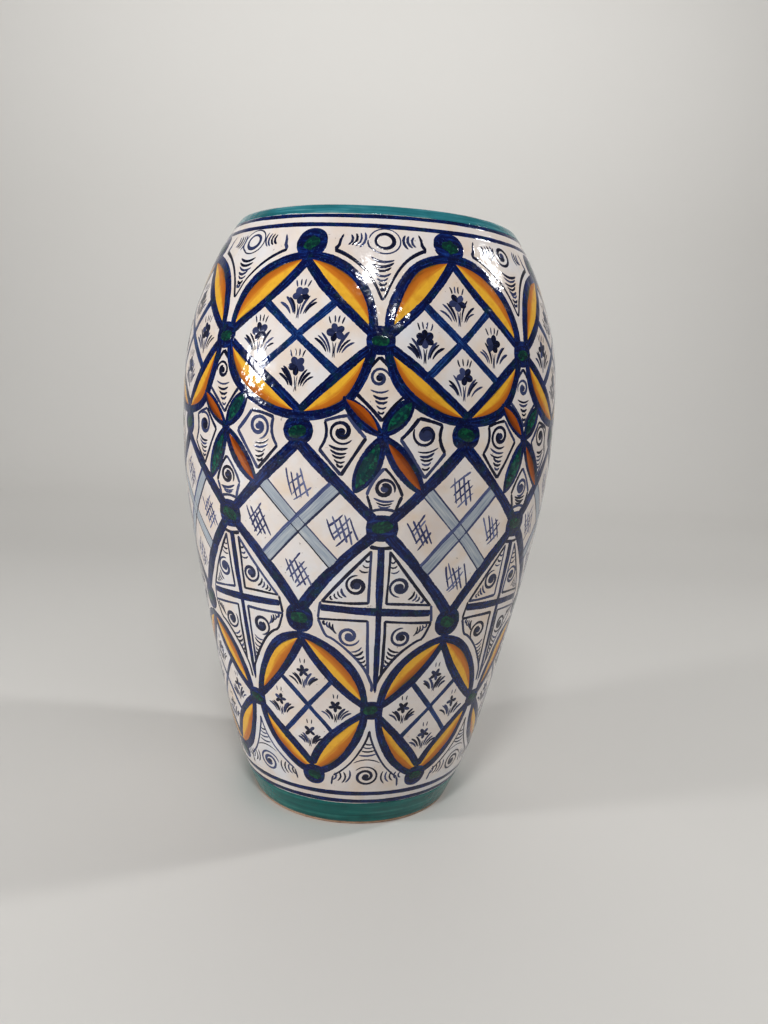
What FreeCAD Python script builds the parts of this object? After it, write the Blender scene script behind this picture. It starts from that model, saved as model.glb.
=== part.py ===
"""A hand-thrown, tin-glazed vase: a barrel-shaped earthenware pot with a wide mouth and a trimmed foot ring.

The pot is one fired piece. It is modelled in what the potter builds up: the clay body, the white coat inside
and out, the green bands over the lip and round the foot, and the blue lines that ring it. A painted colour
sinks into the coat as it fires, so each band and line is a ring of the coat, through its whole thickness.
Millimetres, +Z up, origin at the centre of the foot, on the surface that the vase stands on.
"""

import FreeCAD
import Part
import math
import os

Vector = FreeCAD.Vector

# Overall form, measured to the outside of the glaze.
HEIGHT = 300.0
FOOT_RADIUS = 54.2
BELLY_RADIUS = 96.9
MOUTH_RADIUS = 70.6
BELLY_HEIGHT = 208.0
LIP_LEAN_DEG = 35.0

# Walls and floor.
WALL = 6.0
FLOOR_THICKNESS = 7.0
FLOOR_CORNER_RADIUS = 14.0

# Foot ring, trimmed from the same clay and left bare where it stands.
FOOT_RING_WIDTH = 8.0
FOOT_RECESS_DEPTH = 4.0
FOOT_RECESS_CORNER = 1.5
FOOT_BARE_HEIGHT = 1.6
FOOT_EDGE_ROUND = 1.2

# Glaze coats.
OUTER_GLAZE = 0.5
INNER_GLAZE = 0.4

# Bands and lines in the coat round the foot, from the bare clay up: heights above the foot's resting face.
FOOT_GREEN_TOP = 14.6
FOOT_LOWER_BLUE_WIDTH = 2.6
FOOT_WHITE_WIDTH = 2.4
FOOT_UPPER_BLUE_WIDTH = 2.6

# Bands and lines in the coat below the lip, from the top of the pot down.
RIM_GREEN_DEPTH = 4.6
RIM_GREEN_DEPTH_INSIDE = 9.0
RIM_BLUE_WIDTH = 2.1
RIM_WHITE_WIDTH = 2.4
SHOULDER_BLUE_WIDTH = 2.4

# The wall from foot to belly: how far up that stretch, and how far out from foot to belly radius.
LOWER_WALL_SHAPE = ((0.08, 0.168), (0.25, 0.41), (0.45, 0.63), (0.65, 0.83), (0.85, 0.972))
# The shoulder draws in from belly to lip as this power of the way up, so it stays full and then turns over.
SHOULDER_POWER = 2.35
SHOULDER_POINTS = 3

AXIS = Vector(0, 0, 1)
CENTRE = Vector(0, 0, 0)


def point(radius, height):
    return Vector(radius, 0, height)


def lip_direction():
    """The way the wall runs where it reaches the lip: up, and leaning in."""
    lean = math.radians(LIP_LEAN_DEG)
    return point(-math.sin(lean), math.cos(lean))


def skin_points():
    """Points of the glazed outside, from the foot to the start of the lip's round."""
    lean = math.radians(LIP_LEAN_DEG)
    top = HEIGHT - WALL / 2 * (1 - math.sin(lean))
    rise = BELLY_HEIGHT - FOOT_BARE_HEIGHT
    spread = BELLY_RADIUS - FOOT_RADIUS
    points = [point(FOOT_RADIUS, FOOT_BARE_HEIGHT)]
    for up, out in LOWER_WALL_SHAPE:
        points.append(point(FOOT_RADIUS + out * spread, FOOT_BARE_HEIGHT + up * rise))
    points.append(point(BELLY_RADIUS, BELLY_HEIGHT))
    for i in range(1, SHOULDER_POINTS + 2):
        up = i / (SHOULDER_POINTS + 1)
        draw_in = (BELLY_RADIUS - MOUTH_RADIUS) * up**SHOULDER_POWER
        points.append(point(BELLY_RADIUS - draw_in, BELLY_HEIGHT + (top - BELLY_HEIGHT) * up))
    return points


def smooth(points):
    """A wall line through points, which ends leaning in at the lip's angle."""
    curve = Part.BSplineCurve()
    start = points[1] - points[0]
    curve.interpolate(Points=points, InitialTangent=start.normalize(), FinalTangent=lip_direction())
    return curve


def inward(curve, distance):
    """The same wall line, moved into the pot by a distance square to it."""
    moved = []
    for p in skin_points():
        u = curve.parameter(p)
        along = curve.tangent(u)[0]
        moved.append(p + point(-along.z, along.x) * distance)
    return smooth(moved)


def at_height(curve, height):
    """The curve's parameter where it reaches a height. Every wall line here climbs all the way."""
    low, high = curve.FirstParameter, curve.LastParameter
    for _ in range(60):
        middle = (low + high) / 2
        if curve.value(middle).z < height:
            low = middle
        else:
            high = middle
    return (low + high) / 2


def stretch(curve, low, high):
    return curve.toShape(at_height(curve, low), at_height(curve, high))


def line(a, b):
    return Part.LineSegment(a, b).toShape()


def arc(a, middle, b):
    return Part.Arc(a, middle, b).toShape()


def turn(edges):
    """A closed section in the XZ plane, turned once round the axis."""
    wire = Part.Wire(Part.__sortEdges__(edges))
    return Part.Face(wire).revolve(CENTRE, AXIS, 360)


def lip(outside, inside):
    """The round over the lip, from the end of one wall line to the end of the other."""
    a = outside.value(outside.LastParameter)
    b = inside.value(inside.LastParameter)
    crown = (a + b) * 0.5 + lip_direction() * (a.distanceToPoint(b) / 2)
    return a, crown, b


def floor_corner(curve, floor, radius):
    """Where a corner round leaves the wall line, its middle, and where it meets the floor."""
    height = floor + radius
    for _ in range(30):
        u = at_height(curve, height)
        along = curve.tangent(u)[0]
        into = point(-along.z, along.x)
        height = floor + radius * (1 - into.z)
    start = curve.value(u)
    centre = start + into * radius
    half = (into * -1 + point(0, -1)).normalize()
    return start, centre + half * radius, point(centre.x, floor)


def make_clay(clay_out, clay_in, floor):
    start = clay_out.value(clay_out.FirstParameter)
    foot_out = start.x - FOOT_EDGE_ROUND
    foot_in = start.x - FOOT_RING_WIDTH
    a, crown, b = lip(clay_out, clay_in)
    wall_end, corner_middle, floor_edge = floor_corner(clay_in, floor, FLOOR_CORNER_RADIUS)
    turn_in = FOOT_EDGE_ROUND * (1 - math.sqrt(0.5))
    edge_middle = point(start.x - turn_in, turn_in)
    recess_wall_top = FOOT_RECESS_DEPTH - FOOT_RECESS_CORNER
    recess_in = foot_in - FOOT_RECESS_CORNER
    recess_middle = point(
        foot_in - FOOT_RECESS_CORNER * (1 - math.sqrt(0.5)),
        FOOT_RECESS_DEPTH - FOOT_RECESS_CORNER * (1 - math.sqrt(0.5)),
    )
    return turn([
        clay_out.toShape(),
        arc(a, crown, b),
        clay_in.toShape(at_height(clay_in, wall_end.z), clay_in.LastParameter),
        arc(wall_end, corner_middle, floor_edge),
        line(floor_edge, point(0, floor)),
        line(point(0, floor), point(0, FOOT_RECESS_DEPTH)),
        line(point(0, FOOT_RECESS_DEPTH), point(recess_in, FOOT_RECESS_DEPTH)),
        arc(point(recess_in, FOOT_RECESS_DEPTH), recess_middle, point(foot_in, recess_wall_top)),
        line(point(foot_in, recess_wall_top), point(foot_in, 0)),
        line(point(foot_in, 0), point(foot_out, 0)),
        arc(point(foot_out, 0), edge_middle, point(start.x, FOOT_EDGE_ROUND)),
        line(point(start.x, FOOT_EDGE_ROUND), start),
    ])


def make_ring(outer, inner, low, high):
    """A ring of a coat between two wall lines, with level ends."""
    return turn([
        stretch(outer, low, high),
        stretch(inner, low, high),
        line(outer.value(at_height(outer, low)), inner.value(at_height(inner, low))),
        line(outer.value(at_height(outer, high)), inner.value(at_height(inner, high))),
    ])


def make_foot_green(skin, clay_out):
    """The green coat round the foot, from the bare clay up."""
    high = FOOT_GREEN_TOP
    return turn([
        skin.toShape(skin.FirstParameter, at_height(skin, high)),
        clay_out.toShape(clay_out.FirstParameter, at_height(clay_out, high)),
        line(skin.value(skin.FirstParameter), clay_out.value(clay_out.FirstParameter)),
        line(skin.value(at_height(skin, high)), clay_out.value(at_height(clay_out, high))),
    ])


def make_rim_green(skin, clay_out, clay_in, skin_in):
    """The green coat over the lip and a little way down inside."""
    a, crown, b = lip(skin, skin_in)
    c, clay_crown, d = lip(clay_out, clay_in)
    edges = [arc(a, crown, b), arc(c, clay_crown, d)]
    sides = ((skin, clay_out, RIM_GREEN_DEPTH), (clay_in, skin_in, RIM_GREEN_DEPTH_INSIDE))
    for one, other, depth in sides:
        low = HEIGHT - depth
        edges.append(one.toShape(at_height(one, low), one.LastParameter))
        edges.append(other.toShape(at_height(other, low), other.LastParameter))
        edges.append(line(one.value(at_height(one, low)), other.value(at_height(other, low))))
    return turn(edges)


def make_inner_coat(clay_in, skin_in, floor):
    high = HEIGHT - RIM_GREEN_DEPTH_INSIDE
    glazed_floor = floor + INNER_GLAZE
    clay_end, clay_middle, clay_floor = floor_corner(clay_in, floor, FLOOR_CORNER_RADIUS)
    skin_end, skin_middle, skin_floor = floor_corner(
        skin_in, glazed_floor, FLOOR_CORNER_RADIUS - INNER_GLAZE
    )
    return turn([
        stretch(clay_in, clay_end.z, high),
        arc(clay_end, clay_middle, clay_floor),
        line(clay_floor, point(0, floor)),
        line(point(0, floor), point(0, glazed_floor)),
        line(point(0, glazed_floor), skin_floor),
        arc(skin_floor, skin_middle, skin_end),
        stretch(skin_in, skin_end.z, high),
        line(skin_in.value(at_height(skin_in, high)), clay_in.value(at_height(clay_in, high))),
    ])


def coat_rings():
    """The rings of the outside coat between the two green bands: name, low edge and high edge."""
    foot_rings = (
        ("foot_lower_blue_line", FOOT_LOWER_BLUE_WIDTH),
        ("foot_white_line", FOOT_WHITE_WIDTH),
        ("foot_upper_blue_line", FOOT_UPPER_BLUE_WIDTH),
    )
    rim_rings = (
        ("rim_blue_line", RIM_BLUE_WIDTH),
        ("rim_white_line", RIM_WHITE_WIDTH),
        ("shoulder_blue_line", SHOULDER_BLUE_WIDTH),
    )
    rings = []
    low = FOOT_GREEN_TOP
    for name, width in foot_rings:
        rings.append((name, low, low + width))
        low += width
    high = HEIGHT - RIM_GREEN_DEPTH
    for name, width in rim_rings:
        rings.append((name, high - width, high))
        high -= width
    rings.append(("outer_white_glaze", low, high))
    return rings


def main():
    skin = smooth(skin_points())
    clay_out = inward(skin, OUTER_GLAZE)
    clay_in = inward(skin, WALL - INNER_GLAZE)
    skin_in = inward(skin, WALL)
    floor = FOOT_RECESS_DEPTH + FLOOR_THICKNESS
    nodes = {
        "clay_body": make_clay(clay_out, clay_in, floor),
        "inner_white_glaze": make_inner_coat(clay_in, skin_in, floor),
        "foot_green_glaze": make_foot_green(skin, clay_out),
        "rim_green_glaze": make_rim_green(skin, clay_out, clay_in, skin_in),
    }
    for name, low, high in coat_rings():
        nodes[name] = make_ring(skin, clay_out, low, high)
    os.makedirs("parts", exist_ok=True)
    for name, shape in nodes.items():
        print(f"{name}: valid {shape.isValid()}, {shape.Volume / 1000:.2f} cm3")
        shape.exportStep(f"parts/{name}.step")


main()
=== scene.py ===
"""A hand-thrown vase with a tin glaze, painted round in cobalt, amber, rust and green, set round its CAD
frame.

The white coat is turned on the wheel line that the CAD nodes give. Everything painted is a brush stroke: a
path on
the wall with a width at each point, which the brush tree turns into a thin, slightly raised body of colour.
Sizes of strokes are in millimetres, places are (column, share of the pot's height), and meshes are in metres.
"""

import math
import random

import bpy
import numpy as np
from mathutils import Matrix, Vector


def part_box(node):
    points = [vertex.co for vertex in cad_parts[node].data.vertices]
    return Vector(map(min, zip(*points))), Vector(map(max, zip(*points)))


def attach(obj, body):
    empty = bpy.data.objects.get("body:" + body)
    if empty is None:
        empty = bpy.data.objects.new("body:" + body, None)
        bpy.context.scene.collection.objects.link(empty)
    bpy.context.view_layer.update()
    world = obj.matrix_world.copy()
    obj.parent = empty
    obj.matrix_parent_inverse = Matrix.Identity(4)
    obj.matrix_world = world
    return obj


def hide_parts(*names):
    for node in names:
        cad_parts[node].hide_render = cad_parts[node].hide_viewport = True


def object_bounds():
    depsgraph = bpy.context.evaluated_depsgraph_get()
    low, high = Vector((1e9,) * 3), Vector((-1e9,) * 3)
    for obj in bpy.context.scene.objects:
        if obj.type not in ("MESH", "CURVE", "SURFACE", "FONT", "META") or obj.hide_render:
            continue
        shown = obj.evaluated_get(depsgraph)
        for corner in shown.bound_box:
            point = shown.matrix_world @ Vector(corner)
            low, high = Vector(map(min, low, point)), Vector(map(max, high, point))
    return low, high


MM = 0.001

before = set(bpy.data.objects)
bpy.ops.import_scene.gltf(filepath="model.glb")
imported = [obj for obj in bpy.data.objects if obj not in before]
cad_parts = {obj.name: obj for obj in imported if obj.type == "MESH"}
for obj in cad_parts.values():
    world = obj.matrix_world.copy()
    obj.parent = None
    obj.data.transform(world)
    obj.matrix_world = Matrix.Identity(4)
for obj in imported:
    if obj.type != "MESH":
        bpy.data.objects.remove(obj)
cad_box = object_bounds()
pot_height = cad_box[1].z / MM


#
#
#
#
#
#
# --------------------------------------------------------------------------------------------------
# The wall's line, read from the CAD nodes
#
#
#
#
#
#
# --------------------------------------------------------------------------------------------------

OUTSIDE_NODES = (
    "foot_green_glaze",
    "foot_lower_blue_line",
    "foot_white_line",
    "foot_upper_blue_line",
    "outer_white_glaze",
    "shoulder_blue_line",
    "rim_white_line",
    "rim_blue_line",
)
LINE_STEP = 1.5
GLAZE_SINK = 0.22


def seam_points(node, facing):
    """Section points (radius, height) in mm on a node's faces that look away from the axis (1) or to it
    (-1)."""
    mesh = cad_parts[node].data
    points = set()
    for face in mesh.polygons:
        middle, normal = face.center, face.normal
        out = middle.x * normal.x + middle.y * normal.y
        if out * facing <= 0.02 * middle.xy.length:
            continue
        for index in face.vertices:
            place = mesh.vertices[index].co
            if place.x > 0 and abs(place.y) < 1e-7:
                points.add((round(place.x / MM, 4), round(place.z / MM, 4)))
    return points


def hull(points):
    """The convex hull of section points, anticlockwise from the lowest."""
    ordered = sorted(points, key=lambda p: (p[1], p[0]))

    def side(run):
        chain = []
        for p in run:
            while len(chain) > 1:
                (ax, ay), (bx, by) = chain[-2], chain[-1]
                if (bx - ax) * (p[1] - ay) - (by - ay) * (p[0] - ax) > 0:
                    break
                chain.pop()
            chain.append(p)
        return chain[:-1]

    return side(ordered) + side(ordered[::-1])


def smooth_line(points, step, passes):
    """A Catmull-Rom line through section points, at even steps, relaxed a little so that light runs over
    it."""
    p = np.array(points)
    p = np.vstack([2 * p[0] - p[1], p, 2 * p[-1] - p[-2]])
    knots = np.r_[0, np.cumsum(np.linalg.norm(np.diff(p, axis=0), axis=1) ** 0.5)]
    dense = []
    for i in range(1, len(p) - 2):
        t0, t1, t2, t3 = knots[i - 1 : i + 3]
        for t in np.linspace(t1, t2, 24, endpoint=False):
            a1 = (t1 - t) / (t1 - t0) * p[i - 1] + (t - t0) / (t1 - t0) * p[i]
            a2 = (t2 - t) / (t2 - t1) * p[i] + (t - t1) / (t2 - t1) * p[i + 1]
            a3 = (t3 - t) / (t3 - t2) * p[i + 1] + (t - t2) / (t3 - t2) * p[i + 2]
            b1 = (t2 - t) / (t2 - t0) * a1 + (t - t0) / (t2 - t0) * a2
            b2 = (t3 - t) / (t3 - t1) * a2 + (t - t1) / (t3 - t1) * a3
            dense.append((t2 - t) / (t2 - t1) * b1 + (t - t1) / (t2 - t1) * b2)
    dense.append(p[-2])
    line = even_steps(np.array(dense), step)
    for _ in range(passes):
        line[1:-1] = (line[:-2] + 2 * line[1:-1] + line[2:]) / 4
    return line


def even_steps(points, step):
    along = np.r_[0, np.cumsum(np.linalg.norm(np.diff(points, axis=0), axis=1))]
    count = max(2, round(along[-1] / step) + 1)
    wanted = np.linspace(0, along[-1], count)
    return np.c_[[np.interp(wanted, along, points[:, i]) for i in range(points.shape[1])]].T


def thinned(points, gap):
    """The points in order, without those closer than a gap to the last one kept."""
    kept = [points[0]]
    for p in points[1:-1]:
        if math.dist(p, kept[-1]) > gap:
            kept.append(p)
    return kept + [points[-1]]


def outward(line):
    """Unit normals of a section line, to the right of its direction: out of the clay."""
    along = np.gradient(line, axis=0)
    along /= np.linalg.norm(along, axis=1)[:, None]
    return np.c_[along[:, 1], -along[:, 0]]


outside_points = set().union(*(seam_points(node, 1) for node in OUTSIDE_NODES))
outside_line = smooth_line(thinned(sorted(outside_points, key=lambda p: p[1]), 1.0), LINE_STEP, 14)
lip_points = hull(seam_points("rim_green_glaze", 1) | seam_points("rim_green_glaze", -1))
lip_foot = min(range(len(lip_points)), key=lambda i: math.dist(lip_points[i], outside_line[-1]))
lip_line = smooth_line(thinned(lip_points[lip_foot:] + lip_points[:1], 0.3), 0.7, 2)
inside_points = sorted(seam_points("inner_white_glaze", -1), key=lambda p: -p[1])
inside_line = smooth_line(thinned(inside_points, 1.0), 2.2, 6)
glazed_floor = inside_line[-1][1]
outside_line -= outward(outside_line) * GLAZE_SINK
lip_line -= outward(lip_line) * GLAZE_SINK
inside_line -= outward(inside_line) * GLAZE_SINK / 2


def wall_radius(height):
    return float(np.interp(height, outside_line[:, 1], outside_line[:, 0]))


def wall_lean(height):
    """How far up the wall a millimetre of brush travel takes the brush."""
    rise = wall_radius(height + 2) - wall_radius(height - 2)
    return 4 / math.hypot(4, rise)


def on_wall(angle, height):
    """A place on the outside, in metres. Angle 0 faces -Y, and angles grow towards +X, in degrees."""
    turn = math.radians(angle)
    radius = wall_radius(height) * MM
    return Vector((radius * math.sin(turn), -radius * math.cos(turn), height * MM))


#
#
#
#
#
#
# --------------------------------------------------------------------------------------------------
# Materials
#
#
#
#
#
#
# --------------------------------------------------------------------------------------------------


def linear(code):
    """An sRGB hex colour as linear RGBA."""
    parts = [int(code[i : i + 2], 16) / 255 for i in (1, 3, 5)]
    return tuple(c / 12.92 if c <= 0.04045 else ((c + 0.055) / 1.055) ** 2.4 for c in parts) + (1.0,)


def add(tree, kind, links=None, **settings):
    """A node with its settings and its inputs: links maps an input's name or number to a value or a
    socket."""
    node = tree.nodes.new(kind)
    for name, value in settings.items():
        setattr(node, name, value)
    for key, value in (links or {}).items():
        socket = node.inputs[key]
        if isinstance(value, bpy.types.NodeSocket):
            tree.links.new(value, socket)
        else:
            socket.default_value = value
    return node


def glaze_material(name, roughness):
    """A new material with a Principled shader of fired glaze: glass over colour, so IOR 1.5."""
    material = bpy.data.materials.new(name)
    material.use_nodes = True
    tree = material.node_tree
    tree.nodes.clear()
    shader = add(tree, "ShaderNodeBsdfPrincipled", {"Roughness": roughness, "IOR": 1.5})
    output = add(tree, "ShaderNodeOutputMaterial", {"Surface": shader.outputs[0]})
    output.location = (400, 0)
    return material, tree, shader


def grain(tree, size, detail=3.0, roughness=0.55, stretch=None, vector=None):
    """Noise whose lumps are about a size in mm, from Object coordinates or from a vector in metres."""
    if vector is None:
        vector = add(tree, "ShaderNodeTexCoord").outputs["Object"]
    if stretch:
        mapping = add(tree, "ShaderNodeMapping", {"Vector": vector, "Scale": stretch})
        vector = mapping.outputs[0]
    links = {"Vector": vector, "Scale": 1 / (size * MM), "Detail": detail, "Roughness": roughness}
    return add(tree, "ShaderNodeTexNoise", links).outputs["Fac"]


def ramp(tree, factor, stops):
    """A colour ramp: stops are (position, hex colour)."""
    node = add(tree, "ShaderNodeValToRGB", {"Fac": factor})
    band = node.color_ramp
    while len(band.elements) < len(stops):
        band.elements.new(0.5)
    for element, (position, code) in zip(band.elements, stops):
        element.position = position
        element.color = linear(code)
    return node.outputs["Color"]


def mix(tree, factor, one, other, blend="MIX"):
    links = {"Factor": factor, "A": one, "B": other}
    node = tree.nodes.new("ShaderNodeMix")
    node.data_type = "RGBA"
    node.blend_type = blend
    for name, value in links.items():
        socket = next(s for s in node.inputs if s.name == name and s.enabled)
        if isinstance(value, bpy.types.NodeSocket):
            tree.links.new(value, socket)
        else:
            socket.default_value = value
    return next(s for s in node.outputs if s.enabled)


def spread(tree, value, low, high, to_low=0.0, to_high=1.0):
    links = {"Value": value, "From Min": low, "From Max": high, "To Min": to_low, "To Max": to_high}
    return add(tree, "ShaderNodeMapRange", links).outputs["Result"]


def surface(tree, shader, colour, bumps, rough=None):
    """Joins colour, a stack of bumps (height socket, depth in mm) and a roughness socket to the shader."""
    tree.links.new(colour, shader.inputs["Base Color"])
    normal = None
    for height, depth in bumps:
        links = {"Height": height, "Strength": 1.0, "Distance": depth * MM}
        if normal is not None:
            links["Normal"] = normal
        normal = add(tree, "ShaderNodeBump", links).outputs[0]
    if normal is not None:
        tree.links.new(normal, shader.inputs["Normal"])
    if rough is not None:
        tree.links.new(rough, shader.inputs["Roughness"])


def attribute(tree, name):
    return add(tree, "ShaderNodeAttribute", attribute_name=name).outputs["Fac"]


def brush_marks(tree, across_lines, along_size):
    """Streaks that run with the stroke: many across its width, each as long as a size in mm."""
    along = attribute(tree, "along")
    across = attribute(tree, "across")
    tint = attribute(tree, "tint")
    links = {
        "X": add(
            tree, "ShaderNodeMath", {0: along, 1: 1 / (along_size * MM)}, operation="MULTIPLY"
        ).outputs[0],
        "Y": add(tree, "ShaderNodeMath", {0: across, 1: across_lines}, operation="MULTIPLY").outputs[0],
        "Z": add(tree, "ShaderNodeMath", {0: tint, 1: 50.0}, operation="MULTIPLY").outputs[0],
    }
    place = add(tree, "ShaderNodeCombineXYZ", links).outputs[0]
    return add(tree, "ShaderNodeTexNoise", {"Vector": place, "Scale": 1.0, "Detail": 3.0}).outputs["Fac"]


def white_tin_glaze():
    """Opaque tin glaze, dipped: a warm milky white, cloudy where it ran thick, with an orange-peel gloss."""
    material, tree, shader = glaze_material("white_tin_glaze", 0.12)
    clouds = ramp(tree, grain(tree, 34, 4), [(0.3, "#d9cec8"), (0.5, "#e2dad5"), (0.72, "#dcdce0")])
    blush = mix(tree, spread(tree, grain(tree, 13, 3), 0.46, 0.74, 0.0, 0.7), clouds, linear("#e0cab2"))
    specks = spread(tree, grain(tree, 1.6, 1), 0.74, 0.8)
    colour = mix(tree, specks, blush, linear("#a59a94"))
    peel = grain(tree, 3.2, 2)
    ripple = grain(tree, 9, 2)
    pits = spread(tree, grain(tree, 1.1, 1), 0.72, 0.8, 1.0, 0.0)
    rough = spread(tree, grain(tree, 6, 3), 0.3, 0.7, 0.06, 0.16)
    surface(tree, shader, colour, [(ripple, 0.45), (peel, 0.09), (pits, 0.03)], rough)
    return material


def cobalt_paint(name, dark, middle, light, edge_colour):
    """Cobalt oxide brushed on the raw glaze: navy where it pooled, bluer where the brush ran dry, and dotted
    all over with lighter specks that are painted glints."""
    material, tree, shader = glaze_material(name, 0.1)
    streaks = brush_marks(tree, 3.2, 9)
    base = ramp(tree, streaks, [(0.3, dark), (0.52, middle), (0.78, light)])
    pooled = mix(tree, spread(tree, grain(tree, 5, 3), 0.42, 0.62, 0.0, 0.7), base, linear(dark))
    haze = mix(tree, spread(tree, grain(tree, 4.4, 2), 0.54, 0.7, 0.0, 0.7), pooled, linear("#08353f"))
    # pits and flecks: lighter-blue specks mixed into the colour, a painted highlight for the glints that pits
    # and lumps in the paint catch.
    pits = mix(tree, spread(tree, grain(tree, 0.8, 1), 0.66, 0.76, 0.0, 0.6), haze, linear("#4a6aa0"))
    flecks = mix(tree, spread(tree, grain(tree, 1.3, 2), 0.58, 0.7, 0.0, 0.4), pits, linear(light))
    edge = add(tree, "ShaderNodeMath", {0: attribute(tree, "across")}, operation="ABSOLUTE").outputs[0]
    colour = mix(tree, spread(tree, edge, 0.75, 1.0, 0.0, 0.4), flecks, linear(edge_colour))
    rough = spread(tree, grain(tree, 5, 3), 0.3, 0.7, 0.05, 0.2)
    surface(tree, shader, colour, [(grain(tree, 7, 2), 0.4), (grain(tree, 2.2, 2), 0.07)], rough)
    return material


def line_paint(name, dark, middle, light, dry_colour):
    """Manganese and cobalt line colour from a fine brush: dark where loaded, slate blue where it ran out."""
    material, tree, shader = glaze_material(name, 0.12)
    streaks = brush_marks(tree, 1.5, 6)
    loaded = ramp(tree, streaks, [(0.32, dark), (0.55, middle), (0.8, light)])
    dry = mix(tree, spread(tree, attribute(tree, "tint"), 0.45, 1.0, 0.0, 0.75), loaded, linear(dry_colour))
    surface(tree, shader, dry, [(grain(tree, 2.4, 2), 0.1)])
    return material


def petal_paint(name, outer, inner, edge, deep):
    """Two colours laid side by side along a petal and blended wet: the outer one deeper, with a dark thin
    margin."""
    material, tree, shader = glaze_material(name, 0.1)
    streaks = brush_marks(tree, 3.0, 16)
    across = attribute(tree, "across")
    wander = add(tree, "ShaderNodeMath", {0: streaks, 1: 0.5}, operation="SUBTRACT").outputs[0]
    where = add(tree, "ShaderNodeMath", {0: wander, 1: 0.75, 2: across}, operation="MULTIPLY_ADD").outputs[0]
    stops = [(0.0, edge), (0.1, inner), (0.42, inner), (0.58, outer), (0.86, deep), (0.95, edge)]
    blend = ramp(tree, spread(tree, where, -1, 1), stops)
    mottled = mix(tree, spread(tree, grain(tree, 3, 3), 0.5, 0.75, 0.0, 0.3), blend, linear(deep))
    surface(tree, shader, mottled, [(grain(tree, 7, 2), 0.35), (grain(tree, 2.4, 2), 0.06)])
    return material


def mottled_paint(name, stops, fleck):
    """A single oxide colour, streaky and mottled where it gathered in the melt."""
    material, tree, shader = glaze_material(name, 0.1)
    base = ramp(tree, brush_marks(tree, 2.4, 8), stops)
    flecks = spread(tree, grain(tree, 1.8, 3), 0.52, 0.64, 0.0, 0.8)
    colour = mix(tree, flecks, base, linear(fleck))
    surface(tree, shader, colour, [(grain(tree, 7, 2), 0.35), (grain(tree, 2.0, 2), 0.07)])
    return material


def wash_paint(name, stops):
    """Cobalt thinned with water: a pale slate veil with the drag of the brush left in it."""
    material, tree, shader = glaze_material(name, 0.12)
    colour = ramp(tree, brush_marks(tree, 5.0, 12), stops)
    surface(tree, shader, colour, [(grain(tree, 7, 2), 0.35), (grain(tree, 3.2, 2), 0.06)])
    return material


def copper_green(name, stops, lines_mm):
    """Copper green banded on at the wheel: level streaks that follow the brush round, paler where it is
    thin."""
    material, tree, shader = glaze_material(name, 0.12)
    level = grain(tree, lines_mm, 4, stretch=(0.05, 0.05, 1.0))
    base = ramp(tree, level, stops)
    colour = mix(tree, spread(tree, grain(tree, 8, 3), 0.45, 0.7, 0.0, 0.45), base, linear(stops[0][1]))
    surface(tree, shader, colour, [(grain(tree, 8, 2), 0.4), (grain(tree, 2.6, 2), 0.14)])
    return material


def bare_earthenware():
    """Low-fired clay left bare on the foot: pale buff with sand in it, quite matt."""
    material, tree, shader = glaze_material("bare_earthenware", 0.85)
    body = ramp(tree, grain(tree, 3, 5), [(0.3, "#a88670"), (0.55, "#c09f88"), (0.75, "#d0b49e")])
    sand = mix(tree, spread(tree, grain(tree, 0.6, 2), 0.6, 0.72, 0.0, 0.7), body, linear("#e3c3a5"))
    surface(tree, shader, sand, [(grain(tree, 0.7, 3), 0.15)])
    return material


WHITE = white_tin_glaze()
COBALT = cobalt_paint("cobalt_oxide_paint", "#020a34", "#05154e", "#1c4694", "#0c2866")
COBALT_THIN = cobalt_paint("thin_cobalt_paint", "#081a48", "#0f2e68", "#3868a8", "#1e4884")
LINE = line_paint("black_line_paint", "#0a0c1c", "#141a38", "#303c68", "#4c5680")
THIN_LINE = line_paint("thinned_line_paint", "#242848", "#3a406c", "#646c98", "#7c84a8")
AMBER = petal_paint("amber_petal_paint", "#c67a28", "#e4b03c", "#4a4c20", "#ae6420")
RUST = petal_paint("rust_petal_paint", "#8c4410", "#a85814", "#22242c", "#703408")
LEAF = mottled_paint("leaf_green_paint", [(0.3, "#06222e"), (0.55, "#0a3a40"), (0.75, "#12524c")], "#167050")
CENTRE = mottled_paint(
    "disc_green_paint", [(0.3, "#062630"), (0.55, "#083834"), (0.75, "#0f4a3a")], "#146040"
)
WASH = wash_paint("pale_cobalt_wash", [(0.3, "#8c97a6"), (0.5, "#a3abb5"), (0.7, "#bcc0c2")])
DRAG = wash_paint("dragged_cobalt_wash", [(0.3, "#242e5c"), (0.5, "#46527e"), (0.7, "#8088a8")])
RIM_GREEN = copper_green("rim_copper_green", [(0.3, "#1c6268"), (0.55, "#37808a"), (0.78, "#78a8a8")], 1.6)
FOOT_GREEN = copper_green("foot_copper_green", [(0.3, "#06504e"), (0.55, "#0c6c68"), (0.78, "#40968c")], 2.4)
CLAY = bare_earthenware()


#
#
#
#
#
#
# --------------------------------------------------------------------------------------------------
# Geometry Nodes: the wheel and the brush
#
#
#
#
#
#
# --------------------------------------------------------------------------------------------------


def new_tree(name, inputs):
    """A Geometry Nodes tree with named inputs: (name, socket type, default)."""
    tree = bpy.data.node_groups.new(name, "GeometryNodeTree")
    face = tree.interface
    face.new_socket("Geometry", in_out="INPUT", socket_type="NodeSocketGeometry")
    face.new_socket("Geometry", in_out="OUTPUT", socket_type="NodeSocketGeometry")
    for label, kind, default in inputs:
        socket = face.new_socket(label, in_out="INPUT", socket_type=f"NodeSocket{kind}")
        if default is not None:
            socket.default_value = default
    return tree, add(tree, "NodeGroupInput").outputs, add(tree, "NodeGroupOutput").inputs


def math_node(tree, operation, *values):
    return add(tree, "ShaderNodeMath", dict(enumerate(values)), operation=operation).outputs[0]


def vector_node(tree, operation, *values):
    scale = {"Scale": values[1]} if operation == "SCALE" else {1: values[1]} if len(values) > 1 else {}
    return add(tree, "ShaderNodeVectorMath", {0: values[0], **scale}, operation=operation).outputs["Vector"]


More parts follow.
